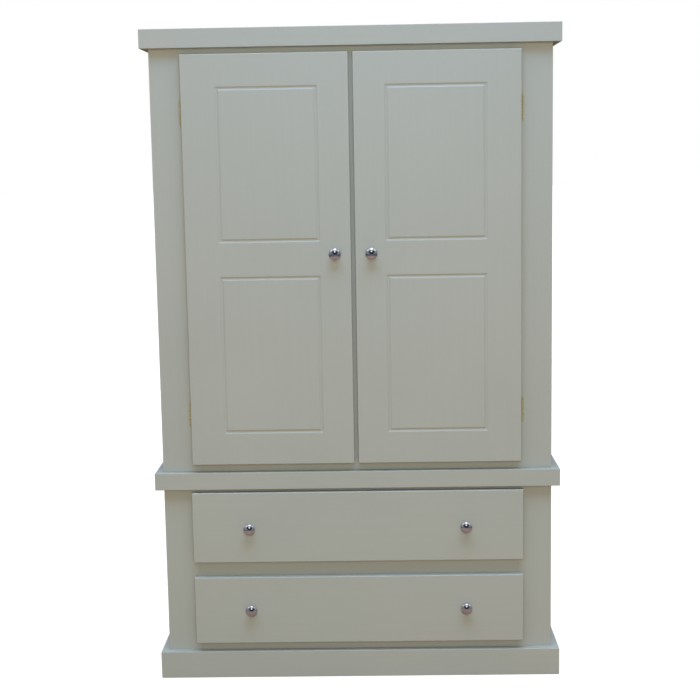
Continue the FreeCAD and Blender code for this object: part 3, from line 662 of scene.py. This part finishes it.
for side_name, side in SIDES.items():
    door(side_name, side)
    low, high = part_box(f"door_{side_name}_knob")
    knobs(f"door_{side_name}_knob", [((low.x + high.x) / 2, (low.z + high.z) / 2)])
for drawer_name in ("upper_drawer", "lower_drawer"):
    drawer_front(drawer_name)
    low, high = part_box(f"{drawer_name}_knobs")
    radius = (high.z - low.z) / 2
    middle = (low.z + high.z) / 2
    knobs(f"{drawer_name}_knobs", [(low.x + radius, middle), (high.x - radius, middle)])


# ---------------------------------------------------------------- screws, hinges and catches

FACE_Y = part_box("centre_post")[0].y
# countersinks: radius at the face, radius at the bottom, depth
HINGE_SINK = (3.1 * MM, 1.6 * MM, 1.35 * MM)
WOOD_SINK = (3.6 * MM, 1.9 * MM, 1.9 * MM)
STRIKE_SINK = (2.2 * MM, 1.5 * MM, 0.9 * MM)

HINGE_LENGTH = 65 * MM
HINGE_KNUCKLES = 5
HINGE_PIN_RADIUS = 1.5 * MM
HINGE_BORE_RADIUS = 1.55 * MM
HINGE_BARREL_RADIUS = 3.0 * MM
HINGE_LEAF_THICKNESS = 1.5 * MM
HINGE_LEAF_WIDTH = 20 * MM
HINGE_PIN_TO_LEAF = 4 * MM
HINGE_SCREW_SPACING = 22 * MM
DOOR_GAP = 3.2 * MM


def circle(centre, radius, steps=24):
    """Points round a circle."""
    return [centre + Vector((radius * math.cos(math.tau * step / steps),
                             radius * math.sin(math.tau * step / steps))) for step in range(steps)]


def sunk_plate(bm, corners, face_y, far_y, places, sink, arris, corner_radius):
    """A plate across Y with countersunk holes in the side at face_y; `sink` is (rim, root, depth)."""
    rim, root, depth = sink
    facing = 1 if far_y > face_y else -1
    first = len(bm.verts)
    to_world = axes_to_world("y")
    holes = [circle(place, rim) for place in places]
    rings = slab(bm, corners, facing * face_y, facing * far_y, "y", arris, [corner_radius] * len(corners),
                 low_holes=holes)
    for place, ring in zip(places, rings):
        bottom = add_loop(bm, circle(place, root), facing * face_y + depth, to_world)
        bridge(bm, [ring, bottom])
        cap(bm, bottom)
    if facing < 0:
        bm.verts.ensure_lookup_table()
        for vertex in bm.verts[first:]:
            vertex.co.y = -vertex.co.y


def screw(bm, place, direction, head, shank, length, countersunk=True):
    """A cross-recessed screw driven along `direction`: `head` is (radius, height), `place` its top."""
    head_radius, head_height = head
    if countersunk:
        rim = head_radius
        profile = [(rim, 0.0), (head_radius, 0.2 * MM), (shank, head_height)]
    else:
        edge = 0.35 * head_height
        rim = head_radius - edge
        profile = [(rim, 0.0)]
        profile += arc(head_radius - edge, edge, edge, -90, 0, 5)[1:]
        profile += [(head_radius, head_height), (shank, head_height)]
    profile += [(shank, length - 2 * shank), (0.0, length)]
    top = turned(bm, profile, place, direction, 32, open_start=True)
    spin = Vector((0, 0, 1)).rotation_difference(Vector(direction)).to_matrix()
    arm = 0.62 * rim
    wide = 0.17 * rim
    cross = [(arm, -wide), (arm, wide), (wide, wide), (wide, arm), (-wide, arm), (-wide, wide),
             (-arm, wide), (-arm, -wide), (-wide, -wide), (-wide, -arm), (wide, -arm), (wide, -wide)]
    rings = []
    for share, along in ((1.0, 0.0), (0.6, 0.6 * head_height)):
        rings.append([bm.verts.new(place + spin @ Vector((x * share, y * share, along))) for x, y in cross])
    cap(bm, top, [rings[0]])
    bridge(bm, rings)
    cap(bm, rings[1])


def hinge_centres(side):
    """The centre of each hinge on one side, on its pin's axis."""
    low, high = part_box("hinge_pins")
    x = side * (high.x - HINGE_PIN_RADIUS)
    y = (low.y + high.y) / 2
    return [Vector((x, y, z)) for z in (high.z - HINGE_LENGTH / 2, low.z + HINGE_LENGTH / 2)]


def hinge_leaf(bm, centre, side, face_y, far_y, own_knuckles):
    """A leaf with three countersunk holes in the side at face_y, and its knuckles."""
    pitch = HINGE_LENGTH / HINGE_KNUCKLES
    gap = 0.3 * MM
    barrel = HINGE_BARREL_RADIUS
    bore = HINGE_BORE_RADIUS
    edge = 0.35 * MM
    outer = centre.x - side * HINGE_PIN_TO_LEAF
    inner = outer - side * HINGE_LEAF_WIDTH
    low_x, high_x = sorted((inner, outer))
    bottom = centre.z - HINGE_LENGTH / 2
    places = [Vector(((inner + outer) / 2, centre.z + index * HINGE_SCREW_SPACING))
              for index in (-1, 0, 1)]
    sunk_plate(bm, rectangle(low_x, high_x, bottom, centre.z + HINGE_LENGTH / 2), face_y, far_y,
               places, HINGE_SINK, 0.25 * MM, 0.6 * MM)
    for index in own_knuckles:
        start = bottom + index * pitch + gap / 2
        height = pitch - gap
        profile = [(bore, 0.0), (barrel - edge, 0.0), (barrel, edge), (barrel, height - edge),
                   (barrel - edge, height), (bore, height), (bore, 0.0)]
        turned(bm, profile, Vector((centre.x, centre.y, start)), (0, 0, 1), 32)
        web_low, web_high = sorted((outer, centre.x - side * 2 * MM))
        near, far = sorted((face_y, far_y))
        slab(bm, rectangle(web_low, web_high, start, start + height), near, far, "y", 0.2 * MM)


def hinge_screws(bm, centre, side, face_y, direction):
    """Three brass screws through one leaf, sunk a hair below its face."""
    x = centre.x - side * (HINGE_PIN_TO_LEAF + HINGE_LEAF_WIDTH / 2)
    for index in (-1, 0, 1):
        place = Vector((x, face_y + direction * 0.1 * MM, centre.z + index * HINGE_SCREW_SPACING))
        screw(bm, place, (0, direction, 0), (2.95 * MM, 1.4 * MM), 1.5 * MM, 15.9 * MM)


def hinges():
    """Four butt hinges with loose pins."""
    leaf = HINGE_LEAF_THICKNESS
    door_back = FACE_Y - DOOR_GAP
    door_face = door_back + leaf
    tip = 0.6 * MM
    radius = HINGE_PIN_RADIUS
    pin_profile = [(0.0, 0.0)]
    pin_profile += arc(radius - tip, tip, tip, -90, 0, 4)
    pin_profile += arc(radius - tip, HINGE_LENGTH - tip, tip, 0, 90, 4)
    pin_profile += [(0.0, HINGE_LENGTH)]
    frame_leaves, frame_screws, pins = bmesh.new(), bmesh.new(), bmesh.new()
    for side_name, side in SIDES.items():
        door_leaves, door_screws = bmesh.new(), bmesh.new()
        for centre in hinge_centres(side):
            hinge_leaf(frame_leaves, centre, side, FACE_Y - leaf, FACE_Y, (0, 2, 4))
            hinge_leaf(door_leaves, centre, side, door_face, door_back, (1, 3))
            hinge_screws(frame_screws, centre, side, FACE_Y - leaf, 1)
            hinge_screws(door_screws, centre, side, door_face, -1)
            turned(pins, pin_profile, centre - Vector((0, 0, HINGE_LENGTH / 2)), (0, 0, 1), 24)
        low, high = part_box(f"door_{side_name}_knob")
        knob_screw(door_screws, (low.x + high.x) / 2, door_back, (low.z + high.z) / 2)
        stand_for(door_leaves, f"door_{side_name}_hinge_leaves", BRASS)
        stand_for(door_screws, f"door_{side_name}_screws", BRASS)
    stand_for(frame_leaves, "frame_hinge_leaves", BRASS)
    stand_for(frame_screws, "frame_hinge_screws", BRASS)
    stand_for(pins, "hinge_pins", BRASS)


def knob_screw(bm, x, board_back_y, z):
    """The machine screw that holds a knob, its pan head on the back of the board."""
    head_height = 2.2 * MM
    screw(bm, Vector((x, board_back_y + head_height, z)), (0, -1, 0), (4 * MM, head_height), 2 * MM,
          34.2 * MM, countersunk=False)


def catches():
    """Magnetic catches with two pole strips each, and the strike plates on the doors' backs."""
    low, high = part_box("magnet_catches")
    housings, poles, fixings = bmesh.new(), bmesh.new(), bmesh.new()
    ear = 7 * MM
    ear_thickness = 3 * MM
    lip = 0.6 * MM
    for side_name, side in SIDES.items():
        start, end = (low.x, low.x + 36 * MM) if side < 0 else (high.x - 36 * MM, high.x)
        slab(housings, rectangle(start + ear, end - ear, low.z, high.z),
             low.y + lip, high.y, "y", 0.8 * MM)
        slab(housings, rectangle(start, end, low.y + 2 * MM, high.y - 2 * MM),
             high.z - ear_thickness, high.z, "z", 0.5 * MM, [3 * MM] * 4)
        for offset in (-5 * MM, 5 * MM):
            middle = (start + end) / 2 + offset
            slab(poles, rectangle(middle - 0.7 * MM, middle + 0.7 * MM, low.z + 1.5 * MM, high.z - 2 * MM),
                 low.y, high.y - 3 * MM, "y", 0.15 * MM)
        for x in (start + ear / 2, end - ear / 2):
            screw(fixings, Vector((x, (low.y + high.y) / 2, high.z - ear_thickness - 1.4 * MM)), (0, 0, 1),
                  (2.6 * MM, 1.4 * MM), 1.4 * MM, 4.4 * MM, countersunk=False)
        strike_low, strike_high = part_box(f"door_{side_name}_strike_plate")
        middle_z = (strike_low.z + strike_high.z) / 2
        middle_x = (strike_low.x + strike_high.x) / 2
        places = [Vector((middle_x + offset, middle_z)) for offset in (-11 * MM, 11 * MM)]
        strike = bmesh.new()
        sunk_plate(strike, rectangle(strike_low.x, strike_high.x, strike_low.z, strike_high.z),
                   strike_high.y, strike_low.y, places, STRIKE_SINK, 0.2 * MM, 2 * MM)
        for place in places:
            screw(strike, Vector((place.x, strike_high.y - 0.08 * MM, place.y)), (0, -1, 0),
                  (2.1 * MM, 0.8 * MM), 0.4 * MM, 0.9 * MM)
        stand_for(strike, f"door_{side_name}_strike_plate", STEEL)
    stand_for(housings, "magnet_catches", PLASTIC)
    for bm, name in ((poles, "catch_poles"), (fixings, "catch_fixings")):
        piece = finish_mesh(bm, name)
        piece.data.materials.append(STEEL)
        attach(piece, "root")


def back_screw_places():
    """Where the screws go through the back panels, from the rebates and the floor boards."""
    places = {"upper": [], "base": []}
    for unit_name, count in (("upper", 6), ("base", 3)):
        low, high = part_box(f"{unit_name}_back_panel")
        top_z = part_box(f"{unit_name}_side_left")[1].z
        for side in SIDES.values():
            x = side * (high.x - 5 * MM)
            for index in range(count):
                places[unit_name].append(Vector((x, low.z + (top_z - low.z) * (index + 0.5) / count)))
        floor_low, floor_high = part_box(f"{unit_name}_floor_panel")
        for index in (-1, 0, 1):
            places[unit_name].append(Vector((index * 0.265, (floor_low.z + floor_high.z) / 2)))
    return places


def backs():
    """Plywood backs in the rebates, screwed on."""
    fixings = bmesh.new()
    for unit_name, places in back_screw_places().items():
        low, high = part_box(f"{unit_name}_back_panel")
        panel = bmesh.new()
        sunk_plate(panel, rectangle(low.x, high.x, low.z, high.z), high.y, low.y, places, WOOD_SINK,
                   0.4 * MM, 0.5 * MM)
        stand_for(panel, f"{unit_name}_back_panel", PLYWOOD["z"])
        for place in places:
            screw(fixings, Vector((place.x, high.y - 0.15 * MM, place.y)), (0, -1, 0),
                  (3.4 * MM, 1.9 * MM), 1.75 * MM, 21.8 * MM)
    stand_for(fixings, "back_panel_screws", STEEL)


def connectors():
    """Four screws down through the upper unit's floor, on wide washer heads."""
    low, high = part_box("unit_connector_screws")
    head = 8 * MM
    bm = bmesh.new()
    for x in (low.x + head, high.x - head):
        for y in (low.y + head, high.y - head):
            screw(bm, Vector((x, y, high.z)), (0, 0, -1), (head, 2 * MM), 3 * MM, high.z - low.z,
                  countersunk=False)
    stand_for(bm, "unit_connector_screws", STEEL)


def hanging_rail():
    """A chromed tube in two turned sockets."""
    low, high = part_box("hanging_rail")
    radius = (high.z - low.z) / 2
    bore = radius - 1.5 * MM
    length = high.x - low.x
    edge = 0.3 * MM
    centre = Vector((low.x, (low.y + high.y) / 2, (low.z + high.z) / 2))
    profile = [(bore, edge), (bore + edge, 0.0), (radius - edge, 0.0), (radius, edge),
               (radius, length - edge), (radius - edge, length), (bore + edge, length),
               (bore, length - edge), (bore, edge)]
    bm = bmesh.new()
    turned(bm, profile, centre, (1, 0, 0), 64)
    stand_for(bm, "hanging_rail", CHROME)

    low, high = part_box("rail_sockets")
    flange = (high.z - low.z) / 2
    cup = 15.5 * MM
    hollow = 12.8 * MM
    profile = [(0.0, 0.0), (flange, 0.0)]
    profile += arc(flange - 1.2 * MM, 1.8 * MM, 1.2 * MM, 0, 90, 5)
    profile += arc(cup + 1.5 * MM, 4.5 * MM, 1.5 * MM, 270, 180, 5)
    profile += arc(cup - 0.8 * MM, 14.2 * MM, 0.8 * MM, 0, 90, 5)
    profile += [(hollow, 15 * MM), (hollow, 3 * MM), (0.0, 3 * MM)]
    bm = bmesh.new()
    for side in SIDES.values():
        wall = Vector((low.x if side < 0 else high.x, centre.y, centre.z))
        turned(bm, profile, wall, (-side, 0, 0), 64)
    stand_for(bm, "rail_sockets", CHROME)


hinges()
catches()
backs()
connectors()
hanging_rail()


# ---------------------------------------------------------------- drawer boxes and runners

def drawer_box(name):
    """Pine sides grooved for a plywood bottom, with rounded top edges, and a pine back."""
    low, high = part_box(f"{name}_sides")
    thickness = 15 * MM
    groove_low = low.z + 11.75 * MM
    groove_high = groove_low + 6.5 * MM
    groove_depth = 6 * MM
    bm = bmesh.new()
    for side in SIDES.values():
        outer = low.x if side < 0 else high.x
        inner = outer - side * thickness
        floor = inner + side * groove_depth
        corners = [Vector((outer, low.z)), Vector((inner, low.z)), Vector((inner, groove_low)),
                   Vector((floor, groove_low)), Vector((floor, groove_high)), Vector((inner, groove_high)),
                   Vector((inner, high.z)), Vector((outer, high.z))]
        radii = [0.8 * MM, 0.8 * MM, 0.2 * MM, 0.2 * MM, 0.2 * MM, 0.2 * MM, 3.5 * MM, 3.5 * MM]
        if side > 0:
            corners.reverse()
            radii.reverse()
        slab(bm, corners, low.y, high.y, "y", 0.15 * MM, radii)
    stand_for(bm, f"{name}_sides", PINE["y"])
    board(f"{name}_back", "y", "x", 1.2 * MM, tight=("+x", "-x"), finish=PINE)
    board(f"{name}_bottom", "z", "x", 0.3 * MM, finish=PLYWOOD)
    low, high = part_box(f"{name}_knobs")
    radius = (high.z - low.z) / 2
    board_back_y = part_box(f"{name}_front")[1].y
    bm = bmesh.new()
    for x in (low.x + radius, high.x - radius):
        knob_screw(bm, x, board_back_y, low.z + radius)
    stand_for(bm, f"{name}_knob_screws", STEEL)


def runners():
    """Rebated pine bars that carry and guide the drawers, each with its uncut end as a stop."""
    low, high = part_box("drawer_runners")
    height = 38 * MM
    guide_height = 20 * MM
    ledge = 27 * MM
    stop = 26.8 * MM
    wide = 103 * MM
    bm = bmesh.new()
    for start_z in (low.z, high.z - height):
        rebate_z = start_z + height - guide_height
        for side in SIDES.values():
            outer = side * high.x
            inner = outer - side * wide
            guide = inner + side * ledge
            corners = [Vector((outer, start_z)), Vector((inner, start_z)), Vector((inner, rebate_z)),
                       Vector((guide, rebate_z)), Vector((guide, start_z + height)),
                       Vector((outer, start_z + height))]
            if side > 0:
                corners.reverse()
            slab(bm, corners, low.y, high.y, "y", 0.3 * MM, [0.8 * MM] * 6)
            near, far = sorted((inner, guide))
            slab(bm, rectangle(near, far, rebate_z, start_z + height), high.y - stop, high.y, "y", 0.3 * MM)
    stand_for(bm, "drawer_runners", PINE["y"])


for drawer_name in ("upper_drawer", "lower_drawer"):
    drawer_box(drawer_name)
runners()
board("base_floor_panel", "z", "x", 0.5 * MM, finish=PINE)


# ---------------------------------------------------------------- floor, light and camera

# What each kind of ray finds, in linear colour.  The floor lights the object with FLOOR_BOUNCE; a mirror
# sees FLOOR_MIRRORED out to FLOOR_REACH metres, fading to WALL_MIRRORED; the camera sees FLOOR_SEEN
# plus FLOOR_GLOW.  SKY lights the object and ROOM is what a mirror sees above the floor, as stops of
# (height of a direction, colour).  ROOM_PATCHES are spots in that room: direction, colour, and the
# cosines where each starts and is full.
FLOOR_BOUNCE = (0.345, 0.218, 0.095)
FLOOR_MIRRORED = (0.215, 0.147, 0.112)
FLOOR_REACH = (2.2, 2.6)
WALL_MIRRORED = (0.07, 0.07, 0.08)
FLOOR_SEEN = (0.30, 0.30, 0.30)
FLOOR_GLOW = 0.82
SKY = ((0.0, (0.42, 0.38, 0.32)), (0.30, (0.20, 0.21, 0.22)), (0.72, (0.20, 0.21, 0.22)),
       (0.78, (2.60, 2.70, 2.90)), (1.0, (2.60, 2.70, 2.90)))
ROOM = ((0.0, (0.22, 0.215, 0.21)), (0.30, (0.25, 0.25, 0.27)), (0.70, (0.32, 0.335, 0.38)),
        (1.0, (0.7, 0.75, 0.85)))
ROOM_PATCHES = (((0.05, -1.0, 0.10), (0.03, 0.025, 0.03), 0.86, 0.93),
                ((-0.38, -0.84, 0.46), (0.04, 0.04, 0.05), 0.940, 0.965),
                ((0.42, -0.84, 0.44), (0.04, 0.04, 0.05), 0.940, 0.965),
                ((0.0, -0.84, 0.55), (1.1, 1.2, 1.35), 0.982, 0.992),
                ((0.04, -0.33, 0.94), (1.9, 2.0, 2.2), 0.965, 0.985),
                ((-0.66, -0.28, 0.68), (0.9, 0.95, 1.1), 0.972, 0.988),
                ((0.68, -0.28, 0.66), (0.9, 0.95, 1.1), 0.976, 0.990))


def studio():
    """A plain pale floor whose bounce is warm, and the soft sky above it."""
    bm = bmesh.new()
    bmesh.ops.create_circle(bm, cap_ends=True, radius=60.0, segments=96)
    floor = finish_mesh(bm, "studio_floor")
    material = bpy.data.materials.new("studio_floor")
    material.use_nodes = True
    tree = material.node_tree
    shader = tree.nodes["Principled BSDF"]
    shader.inputs["Roughness"].default_value = 0.9
    shader.inputs["Specular IOR Level"].default_value = 0.1
    place = tree.nodes.new("ShaderNodeNewGeometry")
    across = tree.nodes.new("ShaderNodeVectorMath")
    across.operation = "LENGTH"
    tree.links.new(place.outputs["Position"], across.inputs[0])
    beyond = fade_node(tree, across.outputs["Value"], *FLOOR_REACH)
    floor_or_wall = mix_node(tree, beyond, FLOOR_MIRRORED, WALL_MIRRORED)
    mirrored = by_ray(tree, "Is Glossy Ray", FLOOR_BOUNCE, floor_or_wall)
    seen = by_ray(tree, "Is Camera Ray", mirrored, FLOOR_SEEN)
    tree.links.new(seen, shader.inputs["Base Color"])
    glow = by_ray(tree, "Is Camera Ray", (0.0, 0.0, 0.0), (1.0, 1.0, 1.0))
    tree.links.new(glow, shader.inputs["Emission Color"])
    shader.inputs["Emission Strength"].default_value = FLOOR_GLOW
    floor.data.materials.append(material)

    world = bpy.data.worlds.new("studio")
    bpy.context.scene.world = world
    world.use_nodes = True
    tree = world.node_tree
    place = tree.nodes.new("ShaderNodeTexCoord")
    split = tree.nodes.new("ShaderNodeSeparateXYZ")
    tree.links.new(place.outputs["Generated"], split.inputs[0])
    lighting = ramp_node(tree, split.outputs["Z"], SKY)
    room = ramp_node(tree, split.outputs["Z"], ROOM)
    for direction, colour, start, full in ROOM_PATCHES:
        dot = tree.nodes.new("ShaderNodeVectorMath")
        dot.operation = "DOT_PRODUCT"
        dot.inputs[1].default_value = unit(Vector(direction))
        tree.links.new(place.outputs["Generated"], dot.inputs[0])
        room = mix_node(tree, fade_node(tree, dot.outputs["Value"], start, full), room, colour)
    mirrored = by_ray(tree, "Is Glossy Ray", lighting, room)
    seen = by_ray(tree, "Is Camera Ray", mirrored, (1.0, 1.0, 1.0))
    tree.links.new(seen, tree.nodes["Background"].inputs["Color"])


def by_ray(tree, kind, otherwise, colour):
    """One colour for one kind of ray, and another for the rest."""
    path = tree.nodes.new("ShaderNodeLightPath")
    return mix_node(tree, path.outputs[kind], otherwise, colour)


def fade_node(tree, value, start, full):
    """0 where the value is at `start` and 1 where it is at `full`."""
    fade = tree.nodes.new("ShaderNodeMapRange")
    fade.inputs["From Min"].default_value = start
    fade.inputs["From Max"].default_value = full
    tree.links.new(value, fade.inputs["Value"])
    return fade.outputs["Result"]


def mix_node(tree, factor, first, second):
    """A colour mixed from two, each a colour or an output."""
    mix = tree.nodes.new("ShaderNodeMix")
    mix.data_type = "RGBA"
    tree.links.new(factor, mix.inputs[0])
    for socket, value in ((mix.inputs[6], first), (mix.inputs[7], second)):
        if isinstance(value, tuple):
            socket.default_value = (*value, 1.0)
        else:
            tree.links.new(value, socket)
    return mix.outputs[2]


def ramp_node(tree, value, stops):
    """A colour ramp over the height of a direction, 0 at the horizon and 1 overhead."""
    ramp = tree.nodes.new("ShaderNodeValToRGB")
    elements = ramp.color_ramp.elements
    elements[0].position, elements[-1].position = stops[0][0], stops[-1][0]
    elements[0].color, elements[-1].color = (*stops[0][1], 1.0), (*stops[-1][1], 1.0)
    for position, colour in stops[1:-1]:
        elements.new(position).color = (*colour, 1.0)
    tree.links.new(value, ramp.inputs[0])
    return ramp.outputs["Color"]


def aimed(kind, name, place, target, **settings):
    """A lamp at one point, turned to another."""
    lamp = bpy.data.lights.new(name, kind)
    for key, value in settings.items():
        setattr(lamp, key, value)
    thing = bpy.data.objects.new(name, lamp)
    thing.location = place
    thing.rotation_euler = (Vector(target) - Vector(place)).to_track_quat("-Z", "Y").to_euler()
    thing.visible_glossy = False
    bpy.context.scene.collection.objects.link(thing)
    return thing


def lights():
    """A cool light over the front and a broad warmer one behind the camera."""
    aimed("AREA", "ceiling", (0.1, -1.6, 3.4), (0.1, -1.601, 0.0), shape="SQUARE", size=1.4,
          energy=43.5, color=(0.345, 0.62, 1.0))
    aimed("AREA", "front", (0.15, -5.6, 2.0), (0.1, 0.0, 1.6), shape="RECTANGLE", size=1.6, size_y=2.4,
          energy=143.0, color=(1.0, 0.92, 0.77))


# the photo's view, fitted to its edges: angles in degrees, the place in metres from the face frame
CAMERA_TURN = 1.125
CAMERA_DIP = 8.089
CAMERA_ROLL = -0.974
CAMERA_PLACE = (0.0604, -3.77965, 1.4838)
CAMERA_SENSOR = 36.0
CAMERA_LENS = 70.13


def camera():
    """The view: a little above the middle of the cupboard, looking slightly down."""
    data = bpy.data.cameras.new("camera")
    data.sensor_width = CAMERA_SENSOR
    data.lens = CAMERA_LENS
    thing = bpy.data.objects.new("camera", data)
    turn = Matrix.Rotation(math.radians(CAMERA_TURN), 4, "Z")
    tilt = Matrix.Rotation(math.radians(90 - CAMERA_DIP), 4, "X")
    roll = Matrix.Rotation(math.radians(CAMERA_ROLL), 4, "Z")
    x, y, z = CAMERA_PLACE
    thing.matrix_world = Matrix.Translation((x, FACE_Y + y, z)) @ turn @ tilt @ roll
    bpy.context.scene.collection.objects.link(thing)
    bpy.context.scene.camera = thing


studio()
lights()
camera()
bpy.context.scene.view_settings.view_transform = "Standard"
